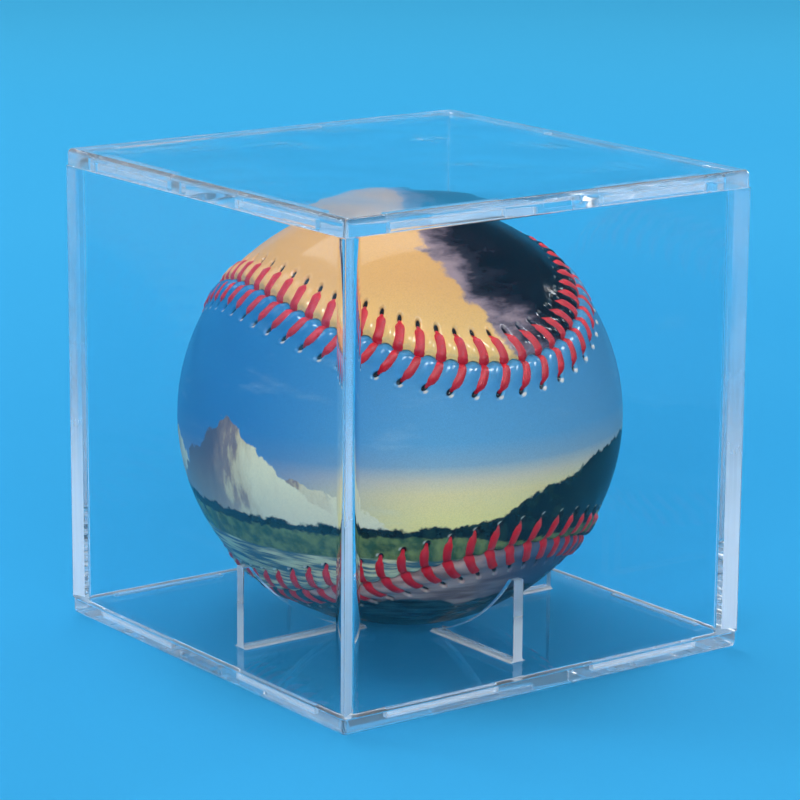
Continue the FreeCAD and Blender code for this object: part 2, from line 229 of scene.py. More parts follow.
def fin_rings():
    """Rings of a fin along +X: a box as high as the bowl's circle, with quarter circles on its upper
    edges and hollow ones where its foot flares out; the last rings draw in by ease x (1 - cos) to round
    the outer end."""
    quarter = np.linspace(0, np.pi / 2, 5)
    run = np.linspace(fin_low[0], fin_high[0] - FIN_EASE, 60)
    reach = np.concatenate((run, fin_high[0] - FIN_EASE * (1 - np.sin(quarter[1:]))))
    half = fin_high[1] - np.concatenate((0 * run, FIN_EASE * (1 - np.cos(quarter[1:]))))
    bowl_radius = np.hypot(fin_low[0], WINDING_CENTRE[2] - fin_low[2] - FIN_TIP)
    bowl = WINDING_CENTRE[2] - np.sqrt(bowl_radius ** 2 - reach ** 2)
    top = np.minimum(bowl, fin_high[2])
    across = FIN_EASE * np.concatenate((1 - np.cos(quarter), 1 - np.cos(quarter[::-1])))
    down = FIN_EASE * np.concatenate((1 - np.sin(quarter), 1 - np.sin(quarter[::-1])))
    side = np.repeat((1.0, -1.0), len(quarter))
    upper_y = side * (half[:, None] - across)
    upper_z = top[:, None] - down
    flare = FOOT_FILLET * np.concatenate((1 - np.cos(quarter), 1 - np.cos(quarter[::-1])))
    foot_y = -side * (half[:, None] + flare)
    hollow = FOOT_FILLET * np.concatenate((1 - np.sin(quarter), 1 - np.sin(quarter[::-1])))
    foot_z = np.broadcast_to(fin_low[2] + FOOT_GAP + hollow, foot_y.shape)
    ring_y = np.concatenate((upper_y, foot_y), 1)
    ring_z = np.concatenate((upper_z, foot_z), 1)
    return np.stack((np.broadcast_to(reach[:, None], ring_y.shape), ring_y, ring_z), -1)


def level_faces(piece):
    """Keep wide flat faces flat where a smooth edge meets them."""
    even = piece.modifiers.new("level_faces", "WEIGHTED_NORMAL")
    even.keep_sharp = True


def fin_ends(tree, place):
    """Cut share of a fin: its cemented foot, and its sawn outer end, more so low down, where its white is
    painted light for light carried inside the fin.
    """
    larger, height = sideways(tree, place)
    foot = rise(tree, height, (fin_low[2] + FOOT_FILLET) * MM, fin_low[2] * MM, 0.0, 0.7)
    # Painted light: the outer end turns white toward the bottom, for light carried inside the fin.
    lower = rise(tree, height, END_CLEAR_ABOVE * MM, END_PAINTED_LIGHT_BELOW * MM, 0.1, 0.8)
    end = product(tree, above(tree, larger, fin_high[0] - END_FACE), lower)
    return node(tree, "Math", {0: foot, 1: end}, operation="MAXIMUM").outputs[0]


def turned_about_z(points, degrees):
    """Points turned about the upright axis."""
    angle = np.radians(degrees)
    cosine, sine = np.cos(angle), np.sin(angle)
    return points @ np.array(((cosine, sine, 0), (-sine, cosine, 0), (0, 0, 1)))


fin_acrylic = acrylic("acrylic_fin", fin_ends, matt=0.14, frost=0.55)
for side, bearing in (("right", 0), ("back", 90), ("left", 180), ("front", 270)):
    fin = skin(f"fin_{side}", turned_about_z(fin_rings(), bearing), "base", fin_acrylic)
    level_faces(fin)
    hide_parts(f"cradle_fin_{side}")


# Core of the ball: a cork centre in two black rubber halves and a red rubber shell.
# These are moulded solids inside the ball, so they stay and get cork and rubber finishes.

def gloss(tree, colour, roughness, bump, **sockets):
    """Plain surface shader with its colour, roughness and bump from nodes, shown as the output."""
    inputs = {"Base Color": colour, "Roughness": roughness, "Normal": bump}
    inputs.update({name.replace("_", " "): value for name, value in sockets.items()})
    shader = node(tree, "BsdfPrincipled", inputs)
    node(tree, "OutputMaterial", {"Surface": shader.outputs[0]})


def layer(tree, share, under, over):
    """Colour that goes from under to over as share goes from 0 to 1."""
    return node(tree, "Mix", {0: share, 6: under, 7: over}, data_type="RGBA").outputs[2]


def granular(name, dark, light, lump, roughness):
    """Pressed or moulded grains: noise and cells mix two colours, and the same cells make the bump."""
    finish, tree, coordinates = blank_finish(name)
    place = coordinates.outputs["Object"]
    clouds = speckle(tree, place, 1.0 / lump, 4.0, 0.6)
    cells = node(tree, "TexVoronoi", {"Vector": place, "Scale": 1.4 / lump}).outputs["Distance"]
    colour = layer(tree, rise(tree, clouds, 0.3, 0.7), dark, light)
    worn = rise(tree, clouds, 0.2, 0.8, roughness - 0.08, roughness + 0.08)
    gloss(tree, colour, worn, ripple(tree, cells, 0.4, lump * 0.1))
    return finish


dress(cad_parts["ball_cork_core"],
      granular("cork", paint(128, 88, 52), paint(196, 152, 104), 0.0016, 0.8))
black_rubber = granular("black_rubber", paint(24, 24, 26), paint(44, 43, 44), 0.0007, 0.55)
dress(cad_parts["ball_rubber_half_upper"], black_rubber)
dress(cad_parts["ball_rubber_half_lower"], black_rubber)
dress(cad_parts["ball_rubber_cover"],
      granular("red_rubber", paint(140, 36, 30), paint(172, 52, 44), 0.0007, 0.5))


# Windings of the ball: grey and white wool yarn, and white cotton on the outside.
# Each layer is wound tightly in all directions over the one below, and ends hidden by the cover.

def yarn(name, dark, light, thickness):
    """Yarn laid in crossing directions: three turned sets of bands, and the highest one shows."""
    finish, tree, coordinates = blank_finish(name)
    place = coordinates.outputs["Object"]
    lift = 0.0
    for turn in ((0.3, 0.2, 0.0), (1.2, 0.5, 0.8), (0.7, 1.4, 2.1)):
        laid = node(tree, "Mapping", {"Vector": place, "Rotation": turn}).outputs[0]
        bands = node(tree, "TexWave", {
            "Vector": laid, "Scale": 0.16 / thickness, "Distortion": 2.0, "Detail": 2.0})
        lift = node(tree, "Math", {0: bands.outputs[1], 1: lift}, operation="MAXIMUM").outputs[0]
    fuzz = speckle(tree, place, 3.0 / thickness)
    # Painted shade: the colour is darker between the strands, with random tone from the fuzz.
    shade = product(tree, lift, fuzz)
    colour = layer(tree, rise(tree, shade, 0.1, 0.6), dark, light)
    gloss(tree, colour, rise(tree, fuzz, 0.2, 0.8, 0.75, 0.95), ripple(tree, shade, 0.6, thickness * 0.4))
    return finish


grey_wool = yarn("grey_wool", paint(92, 90, 88), paint(150, 147, 142), 0.0012)
white_wool = yarn("white_wool", paint(186, 180, 168), paint(232, 227, 216), 0.001)
white_cotton = yarn("white_cotton", paint(206, 203, 196), paint(242, 240, 235), 0.0004)
dress(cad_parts["ball_winding_first"], grey_wool)
dress(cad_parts["ball_winding_second"], white_wool)
dress(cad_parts["ball_winding_third"], grey_wool)
dress(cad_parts["ball_winding_finish"], white_cotton)


# Cover panels: two figure-eight pieces of white leather, printed all over with a lake view and varnished.
# They are pulled together edge to edge, so the leather puffs up between the stitches beside the seam.

BALL_WIDE = 36.65
BALL_HIGH = 35.95
BALL_RADIUS = 36.4
BALL_REST = 0.15
BALL_PRESS = np.array((BALL_WIDE, BALL_WIDE, BALL_HIGH)) / BALL_RADIUS
BALL_CENTRE = np.array((0.0, 0.0, fin_low[2] + BALL_REST + BALL_HIGH))
SEAM_WIDE = 0.715
SEAM_NARROW = 0.285
STITCHES = 108
STITCH_REACH = 4.7
STITCH_SLANT = 1.5
STITCH_BULGE = 0.35
PARTING = 0.09
SCALLOP = 0.7
SLIT_MIDDLE = {-1: 5.1, 1: 4.92}
SLIT_LENGTH = {-1: 0.88, 1: 0.78}
SLIT_WIDTH = 0.46
SLIT_DEPTH = 0.62
# Strength of the bare leather beyond each slit for each panel; the print whitens it, partly as a painted
# glint.
BARE_EDGE_AND_GLINT = {-1: 0.35, 1: 0.7}
PUFF_HEIGHT = 0.62
WELT_HEIGHT = 0.10
EDGE_DEPTH = 0.42
PULL_DEPTH = 0.16
LIP_HEIGHT = 0.09
BAND_WIDTH = 9.0
LINING = 0.05
PRINT_FRONT = -36.4


def ball_turn():
    """Turn of the ball in its cradle: a roll about the seam's axis, that axis to the front, and a yaw."""
    roll = np.array(Matrix.Rotation(np.radians(47.6), 3, "Z"))
    tilt = np.array(Matrix.Rotation(np.radians(90.0), 3, "X"))
    yaw = np.array(Matrix.Rotation(np.radians(-3.8), 3, "Z"))
    return yaw @ tilt @ roll


def set_down(points):
    """Points of a round ball, turned as it lies in the cradle, pressed to its real height, at its place."""
    return points @ ball_turn().T * BALL_PRESS + BALL_CENTRE


def seam_point(turn):
    """Seam on a unit ball: x = a cos t + b cos 3t, y = a sin t - b sin 3t, z = 2 sqrt(ab) sin 2t."""
    x = SEAM_WIDE * np.cos(turn) + SEAM_NARROW * np.cos(3 * turn)
    y = SEAM_WIDE * np.sin(turn) - SEAM_NARROW * np.sin(3 * turn)
    z = 2 * np.sqrt(SEAM_WIDE * SEAM_NARROW) * np.sin(2 * turn)
    return np.stack((x, y, z), -1)


def seam_table():
    """Even steps of t round the seam, and the arc length in millimetres from t = 0 to each."""
    turn = np.linspace(0, 2 * np.pi, 24001)
    steps = np.linalg.norm(np.diff(seam_point(turn), axis=0), axis=1) * BALL_RADIUS
    return turn, np.concatenate(((0.0,), np.cumsum(steps)))


table_turn, table_length = seam_table()
SEAM_LENGTH = table_length[-1]
PITCH = SEAM_LENGTH / STITCHES


def turn_at(length):
    """Value of t at an arc length, with whole laps added on."""
    laps = np.floor(length / SEAM_LENGTH)
    return np.interp(length - laps * SEAM_LENGTH, table_length, table_turn) + 2 * np.pi * laps


def length_at(turn):
    """Arc length at a value of t, with whole laps added on."""
    laps = np.floor(turn / (2 * np.pi))
    return np.interp(turn - 2 * np.pi * laps, table_turn, table_length) + SEAM_LENGTH * laps


def seam_axes(turn):
    """Point on the seam, its direction of travel, and the direction across it, as unit vectors."""
    out = seam_point(turn)
    along = seam_point(turn + 1e-4) - seam_point(turn - 1e-4)
    along /= np.linalg.norm(along, axis=-1, keepdims=True)
    return out, along, np.cross(out, along)


def lean(away):
    """How far a stitch runs along the seam at a distance from it: slant x share - bulge x sin(pi share)."""
    share = away / STITCH_REACH
    return STITCH_SLANT * share - STITCH_BULGE * np.sin(np.pi * np.clip(share, 0, 1))


def bell(value, middle, width, power=2):
    """Bell curve exp(-(|value - middle| / width) ^ power)."""
    return np.exp(-np.abs((value - middle) / width) ** power)


def beside_seam(directions):
    """For each direction: the distance to the seam, the distance along it to the nearest stitch, allowing
    for the stitch's lean, and the direction across the seam there."""
    turns = np.linspace(0, 2 * np.pi, 3000, endpoint=False)
    out, along, across = seam_axes(turns)
    starts = length_at(turns)
    parts = []
    for part in np.array_split(directions, 40):
        near = np.argmax(part @ out.T, 1)
        offset = part - out[near]
        ahead = np.sum(offset * along[near], -1)
        away = np.linalg.norm(offset - along[near] * ahead[:, None], axis=-1) * BALL_RADIUS
        place = starts[near] + ahead * BALL_RADIUS - lean(away)
        beside = (place + PITCH / 2) % PITCH - PITCH / 2
        parts.append(np.column_stack((away, beside, across[near])))
    joined = np.concatenate(parts)
    return joined[:, 0], joined[:, 1], joined[:, 2:]


def leather(directions, hand):
    """Skin of a panel near the seam, as directions and heights over the ball. Its edge is set back from
    the seam and waves across it between stitches; the height is puffs between stitches + a low welt -
    the drawn-in edge - the pull of each stitch + the lip of its slit - the slit, each of them a bell
    curve. The last results are the shares of the slit, which the print darkens as painted shade, and of
    the bare leather at its far end, which the print whitens, partly as a painted glint."""
    flat = directions.reshape(-1, 3)
    away, beside, across = beside_seam(flat)
    between = np.sin(np.pi * beside / PITCH) ** 2
    shift = hand * PARTING - SCALLOP * (between ** 0.7 - 0.5)
    moved = flat + across * (shift * bell(away, 0.0, 1.4) / BALL_RADIUS)[:, None]
    moved /= np.linalg.norm(moved, axis=-1, keepdims=True)
    beyond = (away - SLIT_MIDDLE[hand]) / SLIT_LENGTH[hand]
    # The slit is a dent, and the print darkens it as painted shade.
    slit = bell(np.hypot(beyond, (beside - 0.05) / SLIT_WIDTH), 0.0, 1.0, 4)
    # Bare leather beyond the slit, whitened in the print, partly as a painted glint.
    bare = BARE_EDGE_AND_GLINT[hand] * bell(np.hypot((beyond - 0.95) / 0.5, (beside + 0.4) / 0.36), 0.0, 1.0, 4)
    puffs = PUFF_HEIGHT * bell(away, 1.9, 1.95, 2.6) * between ** 0.7
    welt = WELT_HEIGHT * bell(away, 2.2, 2.8)
    drawn_in = EDGE_DEPTH * bell(away, 0.0, 0.42)
    pull = PULL_DEPTH * bell(beside, 0.0, 0.8) * bell(away, 4.0, 1.5)
    lip = LIP_HEIGHT * bell(np.hypot(beyond - 0.1, beside / 0.5), 1.35, 0.36)
    height = puffs + welt - drawn_in - pull + lip - SLIT_DEPTH * slit
    shape = directions.shape[:-1]
    return moved.reshape(directions.shape), height.reshape(shape), slit.reshape(shape), bare.reshape(shape)


def great_circle(first, last, shares):
    """Points on the great circle from first to last: (sin((1 - s) w) first + sin(s w) last) / sin w."""
    angle = np.arccos(np.clip(np.sum(first * last, -1), -1, 1))
    wide = np.maximum(angle, 1e-6)[:, None, None]
    share = shares[None, :, None]
    points = np.sin((1 - share) * wide) * first[:, None] + np.sin(share * wide) * last[:, None]
    return points / np.linalg.norm(points, axis=-1, keepdims=True)


def panel_rings(tip, mirror, hand):
    """Rings of a panel: rows from one lobe's tip to the other. Each goes straight in from the seam at t
    for the width of the sewn band, along a great circle, and straight out to the seam at mirror - t; it
    runs over the outer skin and back along the plain inner one. With them come the shares of a stitch
    slit, for painted shade, and of bare leather with a painted glint, at each point."""
    lengths = np.linspace(0, SEAM_LENGTH / 2, 806)
    turn = turn_at(length_at(tip) + lengths)
    inward = np.linspace(0, BAND_WIDTH / BALL_RADIUS, 45)[:, None]
    bands = []
    for at in (turn, mirror - turn):
        out, _, across = seam_axes(at)
        bands.append(np.cos(inward) * out[:, None] + np.sin(inward) * hand * across[:, None])
    middle = great_circle(bands[0][:, -1], bands[1][:, -1], np.linspace(0, 1, 14)[1:-1])
    inner = great_circle(bands[1][:, 0], bands[0][:, 0], np.linspace(0, 1, 9))
    outer = np.concatenate((bands[0], middle, bands[1][:, ::-1]), 1)
    outside = outer.shape[1]
    moved, height, slit, bare = leather(np.concatenate((outer, inner), 1), hand)
    rings = set_down(moved * (BALL_RADIUS + height)[..., None])
    rings[:, outside:] = moved[:, outside:] @ ball_turn().T * (WINDING_RADIUS + LINING) + WINDING_CENTRE
    slit[:, outside:] = 0
    bare[:, outside:] = 1
    return rings, slit, bare


def ramp(tree, value, stops):
    """Colour that passes through stops of place and colour as value goes from 0 to 1."""
    made = node(tree, "ValToRGB", {"Fac": value})
    band = made.color_ramp
    while len(band.elements) < len(stops):
        band.elements.new(0.5)
    for element, (place, colour) in zip(band.elements, stops):
        element.position = place
        element.color = colour
    return made.outputs[0]


def toward(tree, place, degrees):
    """Distance along a level bearing; 0 degrees is the front and 90 the right."""
    turn = np.radians(degrees)
    inputs = {0: place, 1: (np.sin(turn), -np.cos(turn), 0)}
    return node(tree, "VectorMath", inputs, operation="DOT_PRODUCT").outputs[1]


def ball_coordinates(tree, coordinates):
    """Coordinates on a ball of radius 1 about its centre, the height, the level direction, and the
    distance to the right of the ball's front."""
    centred = node(tree, "Mapping", {
        "Vector": coordinates.outputs["Object"], "Location": tuple(BALL_CENTRE * MM),
        "Scale": (BALL_RADIUS * MM,) * 3}, vector_type="TEXTURE").outputs[0]
    up = node(tree, "SeparateXYZ", {0: centred}).outputs[2]
    level = node(tree, "VectorMath", {0: centred, 1: (1, 1, 0)}, operation="MULTIPLY").outputs[0]
    level = node(tree, "VectorMath", {0: level}, operation="NORMALIZE").outputs[0]
    return centred, up, level, toward(tree, centred, PRINT_FRONT + 90)


def stretched(tree, centred, across, up, shift=0.0):
    """Coordinates drawn out sideways and moved along, for clouds, water and layers of rock."""
    inputs = {"Vector": centred, "Scale": (across, across, up), "Location": (shift, shift, shift)}
    return node(tree, "Mapping", inputs).outputs[0]


def below(tree, up, line, *terms):
    """1 below a line at a height plus terms of a socket and its factor, with a thin soft edge."""
    return rise(tree, sums(tree, (up, -1.0), *terms), -line - 0.007, -line + 0.007)


def peak(tree, view, centred, up, level, bearing, top, slope):
    """Mountain laid over a view: a cone seen from the side, top - slope x angle from its bearing, with
    ragged edges, a sunlit right flank, a shaded left one, and gullies of noise in both."""
    angle = node(tree, "Math", {0: toward(tree, level, bearing)}, operation="ARCCOSINE").outputs[0]
    ragged = speckle(tree, centred, 7.0, 5.0, 0.6)
    inside = below(tree, up, top - 0.11, (angle, -slope), (ragged, 0.22))
    gullies = speckle(tree, stretched(tree, centred, 7.0, 2.4, bearing), 1.6, 5.0, 0.62)
    side = sums(tree, (toward(tree, level, bearing + 90), 1.6), (gullies, 1.0))
    flank = ramp(tree, rise(tree, side, 0.15, 0.95), [
        (0.0, paint(92, 84, 96)), (0.38, paint(148, 122, 112)), (0.55, paint(214, 188, 142)),
        (1.0, paint(246, 228, 180))])
    haze = layer(tree, rise(tree, up, 0.0, -0.36, 0.0, 0.45), flank, paint(198, 186, 164))
    return layer(tree, inside, view, haze)


def varnished_print(tree, colour, centred):
    """Printed leather: the colour with fine dots and grain, white where the leather is bare, partly as a
    painted glint, and painted shade in the slits, under a glossy clear coat."""
    grain = speckle(tree, centred, 55.0, 4.0, 0.6)
    dots = node(tree, "TexVoronoi", {"Vector": centred, "Scale": 150.0}).outputs["Distance"]
    toned = layer(tree, rise(tree, dots, 0.1, 0.9, 0.0, 0.10), colour, (0.02, 0.02, 0.03, 1.0))
    # White of bare leather, partly a painted glint beyond each slit; the inner skin is bare leather.
    bare = node(tree, "Attribute", {}, attribute_name="bare").outputs["Fac"]
    toned = layer(tree, rise(tree, bare, 0.1, 0.9), toned, paint(214, 202, 180))
    # Painted shade in the slits.
    slit = node(tree, "Attribute", {}, attribute_name="slit").outputs["Fac"]
    toned = layer(tree, rise(tree, slit, 0.25, 0.7), toned, paint(26, 18, 16))
    worn = rise(tree, grain, 0.3, 0.7, 0.26, 0.4)
    gloss(tree, toned, worn, ripple(tree, grain, 0.2, 0.00010), Specular_IOR_Level=0.0,
          Coat_Weight=0.45, Coat_Roughness=0.09)


def day_print():
    """Blue sky over a lake: a height ramp, soft clouds, sunlit mountains, wooded hills, grass and water."""
    finish, tree, coordinates = blank_finish("printed_leather_day")
    centred, up, level, right = ball_coordinates(tree, coordinates)
    sky = ramp(tree, rise(tree, up, -0.45, 0.65), [
        (0.08, paint(248, 220, 138)), (0.20, paint(240, 212, 148)), (0.27, paint(216, 198, 164)),
        (0.36, paint(140, 168, 180)), (0.50, paint(100, 158, 190)), (0.72, paint(88, 150, 188)),
        (1.0, paint(70, 136, 178))])
    sky = layer(tree, rise(tree, right, 0.2, -0.8, 0.0, 0.8), sky, paint(22, 106, 166))
    clouds = speckle(tree, stretched(tree, centred, 1.5, 6.0), 1.5, 5.0, 0.55)
    view = layer(tree, rise(tree, clouds, 0.58, 0.88, 0.0, 0.3), sky, paint(190, 206, 210))
    peaks = ((-118, -0.02, 0.55), (-62, -0.07, 0.62), (-84, 0.14, 0.72), (150, 0.0, 0.6))
    for bearing, top, slope in peaks:
        view = peak(tree, view, centred, up, level, bearing, top, slope)
    woods = speckle(tree, centred, 16.0, 5.0, 0.6)
    leaves = layer(tree, rise(tree, woods, 0.4, 0.75), paint(5, 13, 13), paint(28, 44, 30))
    crowns = (speckle(tree, level, 3.2, 4.0), 0.12)
    tufts = (speckle(tree, centred, 30.0, 3.0), 0.05)
    climb = (rise(tree, right, 0.2, 1.0), 0.26)
    view = layer(tree, below(tree, up, -0.385, crowns, tufts, climb), view, leaves)
    grass = layer(tree, rise(tree, woods, 0.35, 0.65), paint(52, 78, 44), paint(112, 122, 66))
    view = layer(tree, below(tree, up, -0.42, tufts, (rise(tree, right, 0.5, 0.2), 0.05)), view, grass)
    ripples = speckle(tree, stretched(tree, centred, 3.0, 34.0), 1.8, 3.0)
    lake = layer(tree, rise(tree, ripples, 0.38, 0.66), paint(64, 94, 100), paint(206, 196, 150))
    lake = layer(tree, rise(tree, right, 0.15, 0.55), lake, paint(20, 34, 36))
    view = layer(tree, below(tree, up, -0.47, (ripples, 0.02)), view, lake)
    varnished_print(tree, view, centred)
    return finish


def dusk_print():
    """Evening sky with a dark bank of plum clouds over a shore and dark water, on the other panel. The
    shore and water lie low on the ball and are printed darker there as painted shade.
    """
    finish, tree, coordinates = blank_finish("printed_leather_dusk")
    centred, up, level, right = ball_coordinates(tree, coordinates)
    sky = ramp(tree, rise(tree, up, -0.45, 0.95), [
        (0.15, paint(220, 184, 116)), (0.45, paint(242, 200, 124)), (0.75, paint(240, 192, 116)),
        (0.95, paint(220, 166, 100))])
    billows = speckle(tree, stretched(tree, centred, 2.4, 3.4, 0.7), 1.7, 6.0, 0.58)
    bank = sums(tree, (right, 1.0), (up, 1.04), (billows, 0.35))
    folds = speckle(tree, stretched(tree, centred, 2.0, 7.0, 2.0), 2.2, 5.0, 0.55)
    deep = sums(tree, (bank, 1.0), (folds, 0.5))
    plum = ramp(tree, rise(tree, deep, 1.38, 1.70), [
        (0.0, paint(158, 134, 138)), (0.25, paint(112, 96, 104)), (0.55, paint(44, 37, 47)),
        (1.0, paint(10, 9, 15))])
    view = layer(tree, rise(tree, bank, 1.13, 1.17), sky, plum)
    # Painted shade: the shore and water under the ball are printed darker, the shore darker still toward the
    # right.
    sand = speckle(tree, stretched(tree, centred, 3.0, 18.0), 1.5, 3.0)
    shore = layer(tree, rise(tree, sand, 0.35, 0.65), paint(120, 92, 86), paint(176, 142, 130))
    shore = layer(tree, rise(tree, right, 0.2, 0.6), shore, paint(78, 84, 100))
    view = layer(tree, below(tree, up, -0.42), view, shore)
    ripples = speckle(tree, stretched(tree, centred, 3.0, 30.0), 1.8, 3.0)
    lake = layer(tree, rise(tree, ripples, 0.35, 0.7), paint(12, 34, 44), paint(48, 80, 84))
    view = layer(tree, below(tree, up, -0.80, (speckle(tree, level, 2.2, 3.0), 0.2)), view, lake)
    varnished_print(tree, view, centred)
    return finish


quarter_turn = np.pi / 2
for side, hand, finish in (("front", 1, day_print()), ("back", -1, dusk_print())):
    rings, slit, bare = panel_rings(-hand * quarter_turn / 2, -hand * quarter_turn, hand)
    panel = skin(f"cover_panel_{side}", rings, "ball", finish, caps=False, sharp=60.0, slit=slit, bare=bare)
    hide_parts(f"ball_cover_{side}")


# Seam stitches: waxed red thread, sewn by hand in pairs that lean along the seam.
# Each arm comes up out of its hole, lies over the drawn-in leather and dives between the panels.

ARM_WIDTH = {-1: 1.9, 1: 1.6}
ARM_START = {-1: -0.35, 1: 0.1}
ARM_END = 5.0
ARM_THICKNESS = 0.74
ARM_LIFT = 0.24
SEAM_DIVE = 1.0
HOLE_DIVE = 1.1
ARM_STATIONS = 9
ARM_SIDES = 8


def arm_rings(hand):
    """Rings of all arms on one side of the seam: an ellipse carried from the seam to the hole. Its width
    is 0.45 + 0.55 x sine ^ 0.7, widest at about 0.4 of the way, and its middle lies at one height, less
    a bell curve at each end where the thread dives."""
    lengths = np.arange(STITCHES) * PITCH
    share = np.linspace(0, 1, ARM_STATIONS)
    away = ARM_START[hand] + (ARM_END - ARM_START[hand]) * share
    ahead = lean(np.maximum(away, 0))
    out, along, across = seam_axes(turn_at(lengths))
    path = (out[:, None] * BALL_RADIUS + across[:, None] * (hand * away)[:, None]
            + along[:, None] * ahead[:, None])
    path /= np.linalg.norm(path, axis=-1, keepdims=True)
    lift = ARM_LIFT - SEAM_DIVE * bell(share, 0.0, 0.10) - HOLE_DIVE * bell(share, 1.0, 0.14)
    travel = np.gradient(path, axis=1)
    travel /= np.linalg.norm(travel, axis=-1, keepdims=True)
    beside = np.cross(path, travel)
    swell = 0.45 + 0.55 * np.sin(np.pi * np.clip(0.18 + 0.82 * share, 0, 1)) ** 0.7
    angle = np.linspace(0, 2 * np.pi, ARM_SIDES, endpoint=False)
    wide = (swell * ARM_WIDTH[hand] / 2)[None, :, None] * np.cos(angle)
    high = (swell ** 0.5 * ARM_THICKNESS / 2)[None, :, None] * np.sin(angle) + lift[None, :, None]
    middle = path[:, :, None] * (BALL_RADIUS + high)[..., None]
    return middle + beside[:, :, None] * wide[..., None]


def waxed_thread():
    """Red twisted thread: fine slanting plies across the arm, with painted shade in the grooves, and a waxy
    gloss.
    """
    finish, tree, coordinates = blank_finish("red_thread")
    place = coordinates.outputs["Object"]
    plies = node(tree, "TexWave", {
        "Vector": coordinates.outputs["UV"], "Scale": 1.6, "Distortion": 0.6, "Detail": 1.0},
        bands_direction="DIAGONAL").outputs[1]
    fuzz = speckle(tree, place, 2400.0)
    # Painted shade: the colour is darker in the grooves between plies, with random tone from the fuzz.
    shade = sums(tree, (plies, 0.6), (fuzz, 0.4))
    colour = layer(tree, rise(tree, shade, 0.2, 0.75), paint(146, 0, 14), paint(208, 6, 28))
    gloss(tree, colour, rise(tree, fuzz, 0.3, 0.7, 0.42, 0.58), ripple(tree, shade, 0.5, 0.00012),
          Specular_IOR_Level=0.1)
    return finish


def wrap_uv(mesh, shape):
    """UV map of swept arms: u goes once round each ring, and v runs from end to end in ring sides."""
    vertex = np.empty(len(mesh.loops), np.int32)
    mesh.loops.foreach_get("vertex_index", vertex)
    side = vertex % shape[-1]
    station = vertex // shape[-1] % shape[-2]
    layer_map = mesh.uv_layers.new(name="along_thread")
    layer_map.data.foreach_set("uv", np.stack((side, station), -1).astype(np.float32).ravel())


both_hands = np.concatenate((arm_rings(-1), arm_rings(1)))
stitches = skin("seam_stitches", set_down(both_hands), "ball", waxed_thread(), sharp=70.0)
wrap_uv(stitches.data, both_hands.shape[:-1])
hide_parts("ball_stitching")


# Walls: one clear square sleeve of four acrylic panels joined at mitred corners with clear cement.
# Tongues along its ends, flush with the inside, plug into the slots of the two plates, and the cement
# shows as a pale film in each corner.

WALL_OUTER = 41.0
WALL_INNER = 38.0
TONGUE_OUTER = 39.5
TONGUE_NEAR = 10.0
TONGUE_FAR = 32.0
WALL_LEVELS = (1.35, 2.66, 79.14, 80.45)
WALL_EASE = 0.22
WALL_FILLET = 1.2
END_CUT = 0.12
CEMENT_NEAR = 38.5
CEMENT_FAR = 40.8
CEMENT_HALF_THICKNESS = 0.02
CEMENT_ENDS = (3.2, 78.6)
CEMENT_CLEAR_ABOVE = 45.0
CEMENT_WHITE_BELOW = 9.0
CEMENT_WHITE = (0.9, 0.92, 0.94, 1.0)


def block_skin(name, x_cuts, z_cuts, filled, body, finish):
    """Skin of a solid built of blocks: a square grid of cells between the cuts is filled or empty, and
    every face between a filled cell and an empty one, or the outside, belongs to the skin."""
    cells = np.pad(filled, 1)
    x_ends = np.array(x_cuts)
    ends = (x_ends, x_ends, np.array(z_cuts))
    corners = []
    for axis in range(3):
        here = np.moveaxis(cells, axis, 0)
        step = here[1:].astype(int) - here[:-1].astype(int)
        cut, second, third = np.nonzero(step)
        others = [other for other in range(3) if other != axis]
        faces = np.empty((len(cut), 4, 3))
        faces[:, :, axis] = ends[axis][cut][:, None]
        faces[:, :, others[0]] = ends[others[0]][second[:, None] - 1 + np.array((0, 1, 1, 0))]
        faces[:, :, others[1]] = ends[others[1]][third[:, None] - 1 + np.array((0, 0, 1, 1))]
        corners.append(faces)
    corners = np.concatenate(corners)
    mesh = bpy.data.meshes.new(name)
    mesh.from_pydata((corners.reshape(-1, 3) * MM).tolist(), [],
                     np.arange(len(corners) * 4).reshape(-1, 4).tolist())
    work = bmesh.new()
    work.from_mesh(mesh)
    bmesh.ops.remove_doubles(work, verts=work.verts, dist=1e-7)
    bmesh.ops.recalc_face_normals(work, faces=work.faces)
    corner = WALL_INNER * MM
    inside = [edge for edge in work.edges
              if all(np.allclose(np.abs(end.co[:2]), corner, atol=1e-6) for end in edge.verts)]
    bmesh.ops.bevel(work, geom=inside, offset=WALL_FILLET * MM, segments=6, profile=0.5, affect="EDGES")
    work.to_mesh(mesh)
    work.free()
    mesh.polygons.foreach_set("use_smooth", np.ones(len(mesh.polygons), bool))
    piece = bpy.data.objects.new(name, mesh)
    bpy.context.scene.collection.objects.link(piece)
    dress(piece, finish)
    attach(piece, body)
    return piece


def sleeve_cells(cuts):
    """Filled cells of the sleeve: a ring between the inner and outer faces, and tongues above and below."""
    middles = np.abs((np.array(cuts)[1:] + np.array(cuts)[:-1]) / 2)
    first, second = np.meshgrid(middles, middles, indexing="ij")
    ring = np.maximum(first, second) > WALL_INNER
    thin = (middles > WALL_INNER) & (middles < TONGUE_OUTER)
    long = (middles > TONGUE_NEAR) & (middles < TONGUE_FAR)
    tongues = thin[:, None] & long[None, :] | long[:, None] & thin[None, :]
    return np.stack((tongues, ring, tongues), -1)


def wall_ends_cut(tree, place):
    """Cut share of the walls: their sawn upper and lower ends, with the tongues."""
    _, height = sideways(tree, place)
    middle = (WALL_LEVELS[1] + WALL_LEVELS[2]) / 2
    off = sums(tree, (height, 1.0), (-middle * MM, 1.0))
    off = node(tree, "Math", {0: off}, operation="ABSOLUTE").outputs[0]
    return above(tree, off, WALL_LEVELS[2] - middle - END_CUT)


